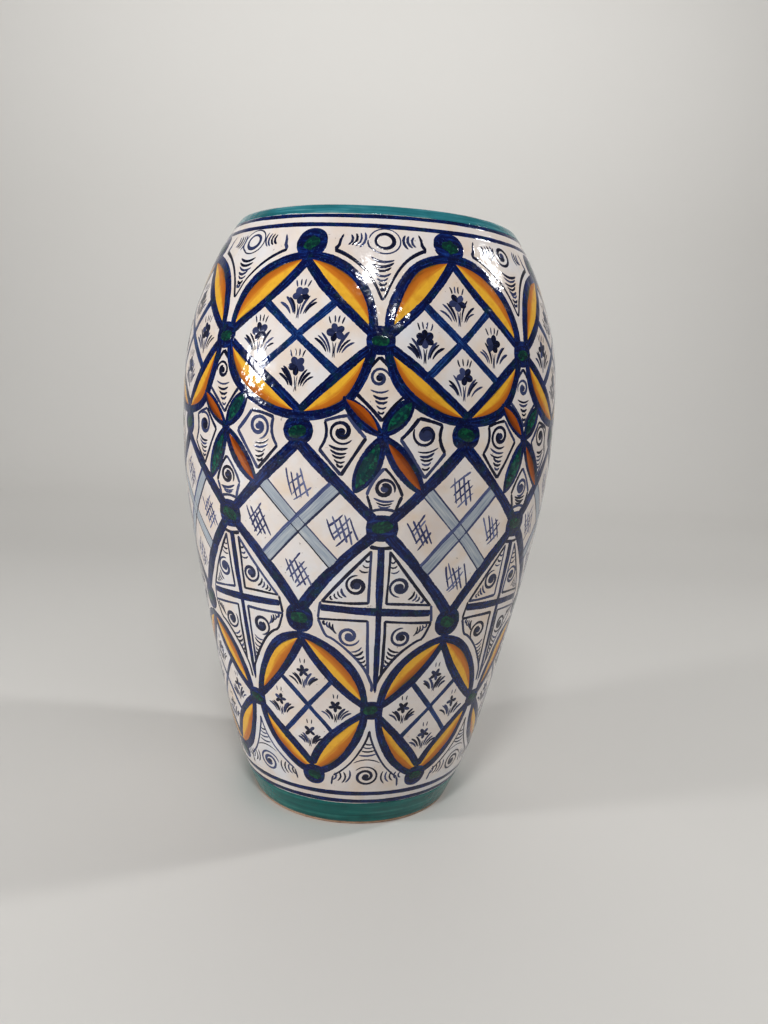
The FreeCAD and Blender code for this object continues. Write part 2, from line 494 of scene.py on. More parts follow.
def wheel_tree():
    """Turns a closed section once round the axis, and gives the coat its lumps and the wheel's faint rings.

    A section point's radius says how far the lumps move it, and its tilt how far a brushed edge wanders.
    """
    inputs = [
        ("Section", "Object", None),
        ("Around", "Int", 64),
        ("Lump Depth", "Float", 0.0),
        ("Lump Size", "Float", 1.0),
        ("Peel Depth", "Float", 0.0),
        ("Peel Size", "Float", 1.0),
        ("Ring Depth", "Float", 0.0),
        ("Ring Spacing", "Float", 1.0),
        ("Edge Wander", "Float", 0.0),
        ("Seed", "Int", 1),
        ("Material", "Material", None),
    ]
    tree, given, out = new_tree("turned_on_the_wheel", inputs)
    section = add(tree, "GeometryNodeObjectInfo", {"Object": given["Section"]}).outputs["Geometry"]
    size = add(tree, "GeometryNodeAttributeDomainSize", {"Geometry": section}, component="CURVE")
    count = size.outputs["Point Count"]
    rows = math_node(tree, "ADD", count, 1)
    columns = math_node(tree, "ADD", given["Around"], 1)
    grid = add(tree, "GeometryNodeMeshGrid", {"Vertices X": columns, "Vertices Y": rows}).outputs["Mesh"]
    index = add(tree, "GeometryNodeInputIndex").outputs[0]
    row = math_node(tree, "MODULO", index, rows)
    column = math_node(tree, "FLOOR", math_node(tree, "DIVIDE", math_node(tree, "ADD", index, 0.5), rows))
    position = add(tree, "GeometryNodeInputPosition").outputs[0]

    def sampled(value, step, kind):
        wanted = math_node(tree, "FLOORED_MODULO", math_node(tree, "ADD", row, step), count)
        links = {"Geometry": section, "Value": value, "Index": wanted}
        return add(tree, "GeometryNodeSampleIndex", links, data_type=kind).outputs["Value"]

    here = sampled(position, 0, "FLOAT_VECTOR")
    along = vector_node(
        tree, "SUBTRACT", sampled(position, 1, "FLOAT_VECTOR"), sampled(position, -1, "FLOAT_VECTOR")
    )
    moves = sampled(add(tree, "GeometryNodeInputRadius").outputs[0], 0, "FLOAT")
    wanders = sampled(add(tree, "GeometryNodeInputCurveTilt").outputs[0], 0, "FLOAT")
    tangent = add(tree, "ShaderNodeSeparateXYZ", {0: vector_node(tree, "NORMALIZE", along)}).outputs
    place = add(tree, "ShaderNodeSeparateXYZ", {0: here}).outputs
    turn = math_node(tree, "DIVIDE", math_node(tree, "MULTIPLY", column, 2 * math.pi), given["Around"])
    cosine = math_node(tree, "COSINE", turn)
    sine = math_node(tree, "SINE", turn)

    def turned(radial, upright):
        links = {
            "X": math_node(tree, "MULTIPLY", radial, cosine),
            "Y": math_node(tree, "MULTIPLY", radial, sine),
            "Z": upright,
        }
        return add(tree, "ShaderNodeCombineXYZ", links).outputs[0]

    wall = turned(place["X"], place["Z"])
    normal = turned(tangent["Z"], math_node(tree, "MULTIPLY", tangent["X"], -1))
    direction = turned(tangent["X"], tangent["Z"])

    def lumps(depth, lump_size, seed_step):
        offset = math_node(tree, "ADD", given["Seed"], seed_step)
        scaled = vector_node(tree, "SCALE", wall, math_node(tree, "DIVIDE", 1, lump_size))
        links = {"Vector": scaled, "W": offset, "Scale": 1.0, "Detail": 1.0}
        noise = add(tree, "ShaderNodeTexNoise", links, noise_dimensions="4D").outputs["Fac"]
        return math_node(tree, "MULTIPLY", math_node(tree, "SUBTRACT", noise, 0.5), depth)

    rings = math_node(tree, "SINE", math_node(tree, "DIVIDE", place["Z"], given["Ring Spacing"]))
    height = math_node(
        tree,
        "ADD",
        math_node(
            tree,
            "ADD",
            lumps(given["Lump Depth"], given["Lump Size"], 0),
            lumps(given["Peel Depth"], given["Peel Size"], 7),
        ),
        math_node(tree, "MULTIPLY", rings, given["Ring Depth"]),
    )
    edge_place = turned(0.06, 0.0)
    edge_links = {"Vector": edge_place, "W": given["Seed"], "Scale": 90.0, "Detail": 2.0}
    edge = add(tree, "ShaderNodeTexNoise", edge_links, noise_dimensions="4D").outputs["Fac"]
    slide = math_node(tree, "MULTIPLY", math_node(tree, "SUBTRACT", edge, 0.5), given["Edge Wander"])
    moved = vector_node(
        tree, "ADD", wall, vector_node(tree, "SCALE", normal, math_node(tree, "MULTIPLY", height, moves))
    )
    final = vector_node(
        tree, "ADD", moved, vector_node(tree, "SCALE", direction, math_node(tree, "MULTIPLY", slide, wanders))
    )
    shaped = add(tree, "GeometryNodeSetPosition", {"Geometry": grid, "Position": final}).outputs[0]
    merged = add(tree, "GeometryNodeMergeByDistance", {"Geometry": shaped, "Distance": 2e-6}).outputs[0]
    smooth = add(tree, "GeometryNodeSetShadeSmooth", {"Geometry": merged}).outputs[0]
    real = add(tree, "GeometryNodeRealizeInstances", {"Geometry": smooth}).outputs[0]
    finished = add(
        tree, "GeometryNodeSetMaterial", {"Geometry": real, "Material": given["Material"]}
    ).outputs[0]
    tree.links.new(finished, out["Geometry"])
    return tree


def brush_tree():
    """Turns paths into strokes of colour: a flat lens of the path's width, laid down on the glaze.

    The path's own radius is half the stroke's width. Hand Shake sways whole paths and Edge Wobble frays
    edges.
    """
    inputs = [
        ("Glaze", "Object", None),
        ("Body", "Float", 0.05),
        ("Root", "Float", 0.05),
        ("Hand Shake", "Float", 0.0),
        ("Shake Length", "Float", 1.0),
        ("Edge Wobble", "Float", 0.0),
        ("Edge Length", "Float", 1.0),
        ("Hairs", "Int", 8),
        ("Seed", "Int", 1),
        ("Material", "Material", None),
    ]
    tree, given, out = new_tree("brush_strokes", inputs)
    coat = add(tree, "GeometryNodeObjectInfo", {"Object": given["Glaze"]}).outputs["Geometry"]
    position = add(tree, "GeometryNodeInputPosition").outputs[0]
    normal = add(tree, "GeometryNodeInputNormal").outputs["Normal"]
    out_from_axis = vector_node(tree, "NORMALIZE", vector_node(tree, "MULTIPLY", position, (1.0, 1.0, 0.0)))
    facing = add(
        tree, "ShaderNodeVectorMath", {0: normal, 1: out_from_axis}, operation="DOT_PRODUCT"
    ).outputs["Value"]
    hidden = add(
        tree, "FunctionNodeCompare", {"A": facing, "B": 0.0}, data_type="FLOAT", operation="LESS_THAN"
    )
    links = {"Geometry": coat, "Selection": hidden.outputs[0]}
    glaze = add(tree, "GeometryNodeDeleteGeometry", links, domain="FACE").outputs[0]

    def shake(length, amount, seed_step):
        scaled = vector_node(tree, "SCALE", position, math_node(tree, "DIVIDE", 1, length))
        seed = math_node(tree, "ADD", given["Seed"], seed_step)
        links = {"Vector": scaled, "W": seed, "Scale": 1.0, "Detail": 1.0}
        noise = add(tree, "ShaderNodeTexNoise", links, noise_dimensions="4D").outputs["Color"]
        return vector_node(tree, "SCALE", vector_node(tree, "SUBTRACT", noise, (0.5, 0.5, 0.5)), amount)

    def store(geometry, name, value, domain="POINT"):
        links = {"Geometry": geometry, "Name": name, "Value": value}
        node = add(tree, "GeometryNodeStoreNamedAttribute", links, data_type="FLOAT", domain=domain)
        return node.outputs[0]

    swayed = add(
        tree,
        "GeometryNodeSetPosition",
        {"Geometry": given["Geometry"], "Offset": shake(given["Shake Length"], given["Hand Shake"], 0)},
    ).outputs[0]
    spline = add(tree, "GeometryNodeSplineParameter").outputs
    measured = store(swayed, "along", spline["Length"])
    chance = add(tree, "FunctionNodeRandomValue", {"Seed": given["Seed"]}, data_type="FLOAT").outputs["Value"]
    tinted = store(measured, "tint", chance, "CURVE")

    def glaze_normal():
        links = {"Mesh": glaze, "Value": normal, "Sample Position": position}
        node = add(tree, "GeometryNodeSampleNearestSurface", links, data_type="FLOAT_VECTOR")
        return node.outputs["Value"]

    upright = add(
        tree, "GeometryNodeSetCurveNormal", {"Curve": tinted, "Normal": glaze_normal()}, mode="FREE"
    ).outputs[0]
    circle = add(
        tree, "GeometryNodeCurvePrimitiveCircle", {"Resolution": given["Hairs"], "Radius": 1.0}
    ).outputs[0]
    quarter_turn = (0, 0, math.pi / 2)
    turned = add(tree, "GeometryNodeTransform", {"Geometry": circle, "Rotation": quarter_turn}).outputs[0]
    corner = add(tree, "ShaderNodeSeparateXYZ", {0: position}).outputs
    inward = math_node(tree, "MULTIPLY", corner["Y"], -1)
    marked = store(store(turned, "across", inward), "lift", corner["X"])
    flat = add(tree, "GeometryNodeTransform", {"Geometry": marked, "Scale": (0.02, 1.0, 1.0)}).outputs[0]
    radius = add(tree, "GeometryNodeInputRadius").outputs[0]
    links = {"Curve": upright, "Profile Curve": flat, "Scale": radius, "Fill Caps": True}
    stroke = add(tree, "GeometryNodeCurveToMesh", links).outputs[0]
    frayed = add(
        tree,
        "GeometryNodeSetPosition",
        {"Geometry": stroke, "Offset": shake(given["Edge Length"], given["Edge Wobble"], 3)},
    ).outputs[0]
    nearest = add(
        tree, "GeometryNodeProximity", {0: glaze, "Sample Position": position}, target_element="FACES"
    ).outputs["Position"]
    lift = add(
        tree, "GeometryNodeInputNamedAttribute", {"Name": "lift"}, data_type="FLOAT"
    ).outputs["Attribute"]
    above = math_node(tree, "MULTIPLY", math_node(tree, "MAXIMUM", lift, 0), given["Body"])
    below = math_node(tree, "MULTIPLY", math_node(tree, "MINIMUM", lift, 0), given["Root"])
    raised = vector_node(tree, "SCALE", glaze_normal(), math_node(tree, "ADD", above, below))
    laid = add(
        tree,
        "GeometryNodeSetPosition",
        {"Geometry": frayed, "Position": vector_node(tree, "ADD", nearest, raised)},
    ).outputs[0]
    smooth = add(tree, "GeometryNodeSetShadeSmooth", {"Geometry": laid}).outputs[0]
    angle = add(tree, "GeometryNodeInputMeshEdgeAngle").outputs["Unsigned Angle"]
    rim = add(
        tree, "FunctionNodeCompare", {"A": angle, "B": 1.2}, data_type="FLOAT", operation="GREATER_THAN"
    )
    links = {"Geometry": smooth, "Selection": rim.outputs[0], "Shade Smooth": False}
    crisp = add(tree, "GeometryNodeSetShadeSmooth", links, domain="EDGE").outputs[0]
    real = add(tree, "GeometryNodeRealizeInstances", {"Geometry": crisp}).outputs[0]
    finished = add(
        tree, "GeometryNodeSetMaterial", {"Geometry": real, "Material": given["Material"]}
    ).outputs[0]
    tree.links.new(finished, out["Geometry"])
    return tree


def finished_piece(name, source, tree, values):
    """Runs a tree on an object with the given inputs, and returns the result as a plain mesh piece."""
    modifier = source.modifiers.new("tree", "NODES")
    modifier.node_group = tree
    for item in tree.interface.items_tree:
        if item.item_type == "SOCKET" and item.in_out == "INPUT" and item.name in values:
            modifier[item.identifier] = values[item.name]
    source.update_tag()
    graph = bpy.context.evaluated_depsgraph_get()
    mesh = bpy.data.meshes.new_from_object(source.evaluated_get(graph), depsgraph=graph)
    mesh.name = name
    source.modifiers.remove(modifier)
    bpy.data.objects.remove(source)
    piece = bpy.data.objects.new(name, mesh)
    bpy.context.scene.collection.objects.link(piece)
    return piece


def line_object(name, splines):
    """Poly splines as one curve object: each is (points in metres, radii, tilts or None, closed)."""
    curve = bpy.data.curves.new(name, "CURVE")
    curve.dimensions = "3D"
    for points, radii, tilts, closed in splines:
        spline = curve.splines.new("POLY")
        spline.points.add(len(points) - 1)
        spline.points.foreach_set("co", [c for p in points for c in (*p, 1.0)])
        spline.points.foreach_set("radius", list(radii))
        if tilts is not None:
            spline.points.foreach_set("tilt", list(tilts))
        spline.use_cyclic_u = closed
    thing = bpy.data.objects.new(name, curve)
    bpy.context.scene.collection.objects.link(thing)
    return thing


#
#
#
#
#
#
# --------------------------------------------------------------------------------------------------
# The coats
#
#
#
#
#
#
# --------------------------------------------------------------------------------------------------

COAT_RELIEF = {
    "Lump Depth": 0.42 * MM,
    "Lump Size": 26 * MM,
    "Peel Depth": 0.11 * MM,
    "Peel Size": 8 * MM,
    "Ring Depth": 0.025 * MM,
    "Ring Spacing": 1.5 * MM,
    "Seed": 5,
}
COAT_BACK = 0.32
WHEEL = wheel_tree()


def coat_section(visible, back_steps, wander=None):
    """A closed section: the visible line, then its back, sunk in the clay, in longer steps."""
    back = even_steps(visible - outward(visible) * COAT_BACK, back_steps)[::-1]
    if visible[-1][0] < 0.5 or visible[0][0] < 0.5:
        back[:, 0] = np.maximum(back[:, 0], 0)
    line = np.vstack([visible, back])
    moves = np.r_[np.ones(len(visible)), np.zeros(len(back))]
    tilts = np.r_[wander if wander is not None else np.zeros(len(visible)), np.zeros(len(back))]
    points = [(r * MM, 0, z * MM) for r, z in line]
    return points, moves, tilts, True


def turned_piece(name, section, material, around, **changes):
    """A coat turned from a section. The section is drawn on the wall's own line, so coats lie on one
    another."""
    guide = line_object(f"{name}_section", [section])
    holder = bpy.data.objects.new(f"{name}_holder", bpy.data.meshes.new(f"{name}_holder"))
    bpy.context.scene.collection.objects.link(holder)
    values = {**COAT_RELIEF, "Section": guide, "Around": around, "Material": material, **changes}
    piece = finished_piece(name, holder, WHEEL, values)
    bpy.data.objects.remove(guide)
    return piece


def outside_coat():
    """The white coat from the foot over the lip. It runs on under the green bands and the painted lines."""
    visible = np.vstack([outside_line, lip_line[1:]])
    piece = turned_piece("white_glaze_outside", coat_section(visible, 12), WHITE, 360)
    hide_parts("outer_white_glaze", "rim_white_line", "foot_white_line")
    return piece


def inside_coat():
    """The white coat inside, down the wall and over the floor, with deeper rings where fingers drew the clay
    up."""
    floor = even_steps(np.array([inside_line[-1], (0.0, inside_line[-1][1])]), 3.0)[1:]
    visible = np.vstack([inside_line, floor])
    changes = {"Ring Depth": 0.16 * MM, "Ring Spacing": 1.9 * MM, "Lump Depth": 0.3 * MM}
    piece = turned_piece("white_glaze_inside", coat_section(visible, 12), WHITE, 220, **changes)
    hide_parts("inner_white_glaze")
    return piece


def edge_weights(count, at_start, at_end, fade):
    """Wander weights along a band's visible line, full at its free edges and none in its middle."""
    weights = np.zeros(count)
    for i in range(fade):
        share = 1 - i / fade
        if at_start:
            weights[i] = share
        if at_end:
            weights[-1 - i] = share
    return weights


def rim_band():
    """Green over the lip, drawn on as the pot turned, with a wavering edge inside."""
    line = even_steps(lip_line, 0.5)
    line += outward(line) * 0.05
    section = coat_section(line, 3, edge_weights(len(line), True, True, 6))
    piece = turned_piece("rim_green_band", section, RIM_GREEN, 300, **{"Edge Wander": 1.6 * MM})
    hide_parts("rim_green_glaze")
    return piece


def foot_band():
    """Green round the foot, down to the bare clay."""
    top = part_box("foot_green_glaze")[1].z / MM
    line = outside_line[outside_line[:, 1] <= top]
    line = even_steps(np.vstack([line, [(wall_radius(top), top)]]), 0.8)
    line += outward(line) * 0.05
    section = coat_section(line, 3, edge_weights(len(line), False, True, 5))
    piece = turned_piece("foot_green_band", section, FOOT_GREEN, 300, **{"Edge Wander": 1.4 * MM})
    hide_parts("foot_green_glaze")
    return piece


def clay():
    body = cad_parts["clay_body"]
    body.data.materials.clear()
    body.data.materials.append(CLAY)


#
#
#
#
#
#
# --------------------------------------------------------------------------------------------------
# Setting out the ornament
#
#
#
#
#
#
# --------------------------------------------------------------------------------------------------

HALF_COLUMNS = 16
HALF_COLUMN_ANGLE = 360 / HALF_COLUMNS
FIRST_COLUMN_ANGLE = -18.5
# Heights of the rows of discs, knots and flowers as shares of the pot's height, and the usual gap between
# rows.
ROWS = (0.94, 0.80, 0.67, 0.53, 0.38, 0.23, 0.10)
ROW_GAP = 0.14
# The lattice creeps round the pot on its way down, by this many degrees a row.
CREEP = 1.0
# How far the painter's hand strays from the even layout, in degrees and as a share of the height.
STRAY_ANGLE = 1.4
STRAY_HEIGHT = 0.005
COLUMNS = range(0, HALF_COLUMNS, 2)

hand = random.Random(1824)
paints = {}


def drift_table():
    """How far each place lies from the even layout: the lattice's creep and the straying of the hand."""
    wander = random.Random(77)
    table = []
    for row in range(len(ROWS)):
        creep = CREEP * (row - len(ROWS) // 2)
        for column in range(row % 2, HALF_COLUMNS, 2):
            angle = creep + wander.uniform(-STRAY_ANGLE, STRAY_ANGLE)
            table.append((column, row, angle, wander.uniform(-STRAY_HEIGHT, STRAY_HEIGHT)))
    return np.array(table)


DRIFT = drift_table()


def spot(column, share):
    """A place of the ornament as (angle, height): the even layout plus the drift of the places near it."""
    row = float(np.interp(-share, [-s for s in ROWS], range(len(ROWS))))
    row += max(share - ROWS[0], 0) / -ROW_GAP + max(ROWS[-1] - share, 0) / ROW_GAP
    across = (DRIFT[:, 0] - column + HALF_COLUMNS / 2) % HALF_COLUMNS - HALF_COLUMNS / 2
    weights = 1 / (across**2 + (DRIFT[:, 1] - row) ** 2 + 0.04) ** 2
    weights /= weights.sum()
    angle = FIRST_COLUMN_ANGLE + HALF_COLUMN_ANGLE * column + float(weights @ DRIFT[:, 2])
    return angle, (share + float(weights @ DRIFT[:, 3])) * pot_height


def beside(place, right, up):
    """The place that a brush reaches from another by moving right and up along the wall, in mm."""
    angle, height = place
    return angle + math.degrees(right / wall_radius(height)), height + up * wall_lean(height)


def between(one, other, share):
    return one[0] + (other[0] - one[0]) * share, one[1] + (other[1] - one[1]) * share


def straight(*places):
    """Places joined by straight pulls of the brush."""
    path = []
    for one, other in zip(places, places[1:]):
        path += [between(one, other, i / 12) for i in range(12)]
    return path + [places[-1]]


def bowed(one, other, sag):
    """A pull from one place to another that bows to its left by a sag in mm."""
    radius = wall_radius((one[1] + other[1]) / 2)
    right = math.radians(other[0] - one[0]) * radius
    up = other[1] - one[1]
    length = math.hypot(right, up) or 1
    path = []
    for i in range(15):
        t = i / 14
        push = 4 * sag * t * (1 - t) / length
        path.append(beside(between(one, other, t), -up * push, right * push))
    return path


def curved(places):
    """A smooth pull through places."""
    p = [np.array(place) for place in places]
    p = [2 * p[0] - p[1]] + p + [2 * p[-1] - p[-2]]
    path = []
    for a, b, c, d in zip(p, p[1:], p[2:], p[3:]):
        for t in np.linspace(0, 1, 8, endpoint=False):
            path.append(
                tuple(
                    (
                        (2 * b) + (c - a) * t + (
                            2 * a - 5 * b + 4 * c - d
                        ) * t**2 + (3 * b - a - 3 * c + d) * t**3
                    ) / 2
                )
            )
    return path + [tuple(p[-2])]


def stroke(paint, path, width, head=None, tail=None, step=1.5, closed=False, swell=0.1):
    """One stroke: its full width in mm, and the lengths over which it opens at the head and closes at the
    tail.

    Width may be a number or a function of the share along the path.
    """
    places = [on_wall(*p) / MM for p in path]
    distance = np.r_[0, np.cumsum([(b - a).length for a, b in zip(places, places[1:])])]
    length = distance[-1]
    if length < 0.3:
        return
    count = max(6, int(length / step) + 1)
    share = np.linspace(0, 1, count)
    if not closed:
        share = share - 0.09 * np.sin(2 * math.pi * share)
    angles = np.interp(share * length, distance, [p[0] for p in path])
    heights = np.interp(share * length, distance, [p[1] for p in path])
    full = np.array([width(s) for s in share]) if callable(width) else np.full(count, float(width))
    head = full[count // 2] / 2 if head is None else head
    tail = full[count // 2] / 2 if tail is None else tail
    waves = max(1, round(length / 44))
    full = full * (
        1 + swell * np.sin(2 * math.pi * (waves * share + hand.random()))
    ) * hand.uniform(0.94, 1.06)
    if not closed:
        from_head = np.clip(share * length / max(head, 1e-3), 0, 1)
        from_tail = np.clip((1 - share) * length / max(tail, 1e-3), 0, 1)
        full = full * np.sqrt(1 - (1 - from_head) ** 2) * np.sqrt(1 - (1 - from_tail) ** 2)
    points = [on_wall(a, h) for a, h in zip(angles, heights)]
    radii = np.maximum(full / 2, 0.03) * MM
    if closed:
        points, radii = points[:-1], radii[:-1]
    paints.setdefault(paint, []).append((points, radii, None, closed))


def dab(paint, place, wide, tall, turn=0.0, corners=0.0):
    """A rounded touch of the brush, wide by tall, in mm; corners above 0 square it off."""
    c, s = math.cos(math.radians(turn)), math.sin(math.radians(turn))
    path = [beside(place, c * x, s * x) for x in np.linspace(-wide / 2, wide / 2, 13)]
    step = max(wide / 16, 0.45)
    power = 2 + corners

    def width(t):
        return tall * max(1 - abs(2 * t - 1) ** power, 0) ** (1 / power)

    stroke(paint, path, width, 0.001, 0.001, step, swell=0)


def jitter(amount):
    return hand.uniform(-amount, amount)


#
#
#
#
#
#
# --------------------------------------------------------------------------------------------------
# Cobalt lattice
#
#
#
#
#
#
# --------------------------------------------------------------------------------------------------

# A circle: its middle and half height as shares, its half width in half columns, how square it is, the widths
# of
# ring, diamond and cross in mm, the diamond's top and bottom as shares, and how far its sides bow in, in mm.
UPPER = dict(
    middle=0.806, tall=0.115, reach=0.91, square=2.2, ring=4.4, band=4.3, cross=3.5, ends=(0.916, 0.697),
    bows=(1.6, 1.0, 1.0, 2.4)
)
LOWER = dict(
    middle=0.228, tall=0.123, reach=0.885, square=1.82, ring=4.1, band=4.1, cross=2.5, ends=(0.346, 0.119),
    bows=(3.6, 3.6, 0.8, 3.8)
)
KNOTS = {"upper": ROWS[1], "lower": ROWS[5]}


def ring_place(circle, column, turn, grow=0.0):
    """A place on a ring at a turn in degrees clockwise from its top, grown by a number of mm."""
    a = math.radians(turn)
    s, c = math.sin(a), math.cos(a)
    size = (abs(s) ** circle["square"] + abs(c) ** circle["square"]) ** (-1 / circle["square"])
    place = spot(column + circle["reach"] * size * s, circle["middle"] + circle["tall"] * size * c)
    return beside(place, grow * s, grow * c)


def circle_panel(name, circle, column, flowers):
    """A ring with a diamond in it, amber petals in the gaps, and four flowers in the diamond."""
    knot = KNOTS[name]
    top, low = circle["ends"]
    corners = (spot(column, top), spot(column + 1, knot), spot(column, low), spot(column - 1, knot))
    sides = []
    for one, other, bow in zip(corners, corners[1:] + corners[:1], circle["bows"]):
        sides.append(bowed(one, other, -(bow + jitter(0.5))))
    for quarter, side in enumerate(sides):
        petal(f"amber_{name}", circle, column, quarter, side)
    ring = [ring_place(circle, column, t) for t in range(0, 361, 6)]
    stroke("cobalt", ring, circle["ring"], closed=True, step=1.75)
    for side in sides:
        stroke("cobalt", side, circle["band"], step=1.75)
    for one, other in ((0, 2), (1, 3)):
        a, b = sides[one][7], sides[other][7]
        stroke("cross", bowed(a, b, jitter(0.5)), circle["cross"], step=1.3)
    centre = between(sides[0][7], sides[2][7], 0.5)
    for corner in corners:
        flowers(beside(between(centre, corner, 0.47), jitter(0.4), jitter(0.4)))


def petal(paint, circle, column, quarter, side):
    """An amber petal between the ring and one side of the diamond. Its outer side is the ring's side."""
    shares = np.linspace(0.04, 0.96, 25)
    outer = [ring_place(circle, column, 90 * (quarter + t)) for t in shares]
    spans = np.linspace(0, 1, len(side))
    inner = [
        (np.interp(t, spans, [p[0] for p in side]), np.interp(t, spans, [p[1] for p in side])) for t in shares
    ]
    path = [between(a, b, 0.5) for a, b in zip(outer, inner)]
    gaps = [(on_wall(*a) - on_wall(*b)).length / MM for a, b in zip(outer, inner)]
    if circle is LOWER and quarter == 3:
        path, gaps = path[::-1], gaps[::-1]
    trim = (circle["ring"] + circle["band"]) * 0.36

    def width(t):
        gap = float(np.interp(t, np.linspace(0, 1, 25), gaps)) - trim
        return max(gap * 1.02, 0.1)

    stroke(paint, path, width, 1.0, 1.0, 1.5, swell=0.02)


def discs_and_knots():
    for column in range(HALF_COLUMNS):
        for row, share in enumerate(ROWS):
            if (column + row) % 2:
                continue
            wide, tall, centre = (
                (15.0, 14.4, 0.46), (12.6, 12.6, 0.5), (13.8, 13.2, 0.52), (14.2, 12.4, 0.55),
                (13.4, 14.2, 0.5), (10.6, 10.0, 0.56), (11.6, 12.6, 0.5)
            )[row]
            place = beside(spot(column, share), jitter(0.3), jitter(0.3))
            wide, tall = wide + jitter(0.6), tall + jitter(0.6)
            dab("discs", place, wide, tall, 0, 0.5 if row % 2 else 0.15)
            middle = beside(place, jitter(0.5), jitter(0.5))
            dab("centres", middle, wide * centre * 1.2, tall * centre, jitter(25), 0.4)
            if row == 0:
                dab("centres", middle, tall * centre * 1.1, wide * centre * 0.6, 90 + jitter(20))


def big_diamonds():
    """The plain lattice diamonds: cobalt bands, a washed cross with fine edges, and a net in each quarter."""
    for column in COLUMNS:
        top, right = spot(column, 0.654), spot(column + 1, ROWS[3])
        bottom, left = spot(column, 0.392), spot(column - 1, ROWS[3])
        for one, other, sag in ((top, right, 0), (top, left, 0), (bottom, right, 1.2), (bottom, left, -1.2)):
            stroke("cobalt", bowed(one, other, sag + jitter(0.8)), 5.4, step=1.75)
        share = 0.5 + jitter(0.02)
        rising = (between(left, bottom, share), between(top, right, share))
        falling = (between(top, left, share), between(right, bottom, share))
        for (one, other), heavy in ((rising, True), (falling, False)):
            stroke("wash", straight(one, other), 5.6, step=1.5, swell=0.03)
            tilt = 1 if other[1] > one[1] else -1
            for side in (-1, 1):
                a = beside(one, -2.0 * side * tilt, 2.0 * side)
                b = beside(other, -2.0 * side * tilt, 2.0 * side)
                a, b = between(a, b, jitter(0.02)), between(a, b, 1 + jitter(0.02))
                if heavy and side > 0:
                    stroke("drag", bowed(a, b, jitter(0.4)), 1.9, 1.5, 2.5)
                else:
                    stroke("lines", bowed(a, b, jitter(0.4)), 1.25 if heavy else 0.75, 1.5, 1.5)
        centre = between(top, bottom, 0.5)
        for corner in (top, right, bottom, left):
            net(between(centre, corner, 0.52))


def net(place):
    """A loose net of fine strokes: three or four that fall steeply, crossed by three or four that rise."""
    lean = jitter(6)
    for i in range(hand.choice((4, 4, 5))):
        across = (i - 1.6) * 2.5 + jitter(0.3)
        pull(place, across, jitter(1.0), math.radians(-70 + lean + jitter(5)), 12.5 + jitter(2.0), 0.95)
    for i in range(hand.choice((3, 4, 4))):
        up = (i - 1.5) * 2.9 + jitter(0.4)
        pull(place, jitter(0.8) - 0.4 * up, up, math.radians(46 + lean + jitter(6)), 10.5 + jitter(2.0), 0.95)


def pull(place, right, up, slope, length, width):
    """One fine stroke of the net, fading out at its end."""
    middle = beside(place, right, up)
    reach = (math.cos(slope) * length / 2, math.sin(slope) * length / 2)
    path = bowed(beside(middle, -reach[0], -reach[1]), beside(middle, *reach), jitter(0.4))
    if hand.random() < 0.5:
        path = path[::-1]
    stroke("net", path, width + jitter(0.15), 1.0, 3.5)


#
#
#
#
#
#
# --------------------------------------------------------------------------------------------------
# Fine brush work
#
#
#
#
#
#
# --------------------------------------------------------------------------------------------------


def coil(place, reach, turns, way, start, width=1.1, dot=3.0):
    """A loaded dot that runs out into a coil: heavy where it leaves the dot, fine at its end."""
    path = []
    steps = int(26 * turns)
    first = dot * 0.25
    for i in range(steps + 1):
        t = i / steps
        a = math.radians(start + way * 360 * turns * t)
        r = first + (reach - first) * t**0.8
        path.append(beside(place, r * math.cos(a), r * math.sin(a)))
    stroke("curls", path, lambda t: width * (1.9 - 1.2 * t), 0.4, 3.0, 0.9, swell=0.1)
    if dot:
        dab("curls", place, dot, dot * 0.92)


def smile(place, span, sag, width=1.1, turn=0.0):
    """A comma of paint, thickest in the middle, that sags by an amount in mm."""
    c, s = math.cos(math.radians(turn)), math.sin(math.radians(turn))
    path = []
    for t in np.linspace(-1, 1, 9):
        x, y = t * span / 2, -sag * (1 - t * t) + sag / 2
        path.append(beside(place, c * x - s * y, s * x + c * y))
    stroke("curls", path, width, span * 0.42, span * 0.42, 1.1, swell=0)


def smiles(start, end, spans, sag, turn=0.0, width=1.1):
    """A ladder of commas from one place to another."""
    count = len(spans)
    for i, span in enumerate(spans):
        place = beside(between(start, end, i / max(count - 1, 1)), jitter(0.25), jitter(0.2))
        smile(place, span * (1 + jitter(0.1)), sag, width * (1 + jitter(0.2)), turn + jitter(6))


def outline(places, sags, width=1.55, closed=True):
    """A cell's outline: one pull of the fine brush for each side."""
    pairs = list(zip(places, places[1:] + places[:1]))
    if not closed:
        pairs = pairs[:-1]
    for (one, other), sag in zip(pairs, sags):
        a, b = between(one, other, -0.02), between(one, other, 1.02)
        stroke("lines", bowed(a, b, sag + jitter(0.2)), width * (1 + jitter(0.12)), 0.4, 0.5)


def ladder(count, first, last):
    return [first + (last - first) * i / max(count - 1, 1) for i in range(count)]


COILED_SPANDRELS = (3, 9, 13)


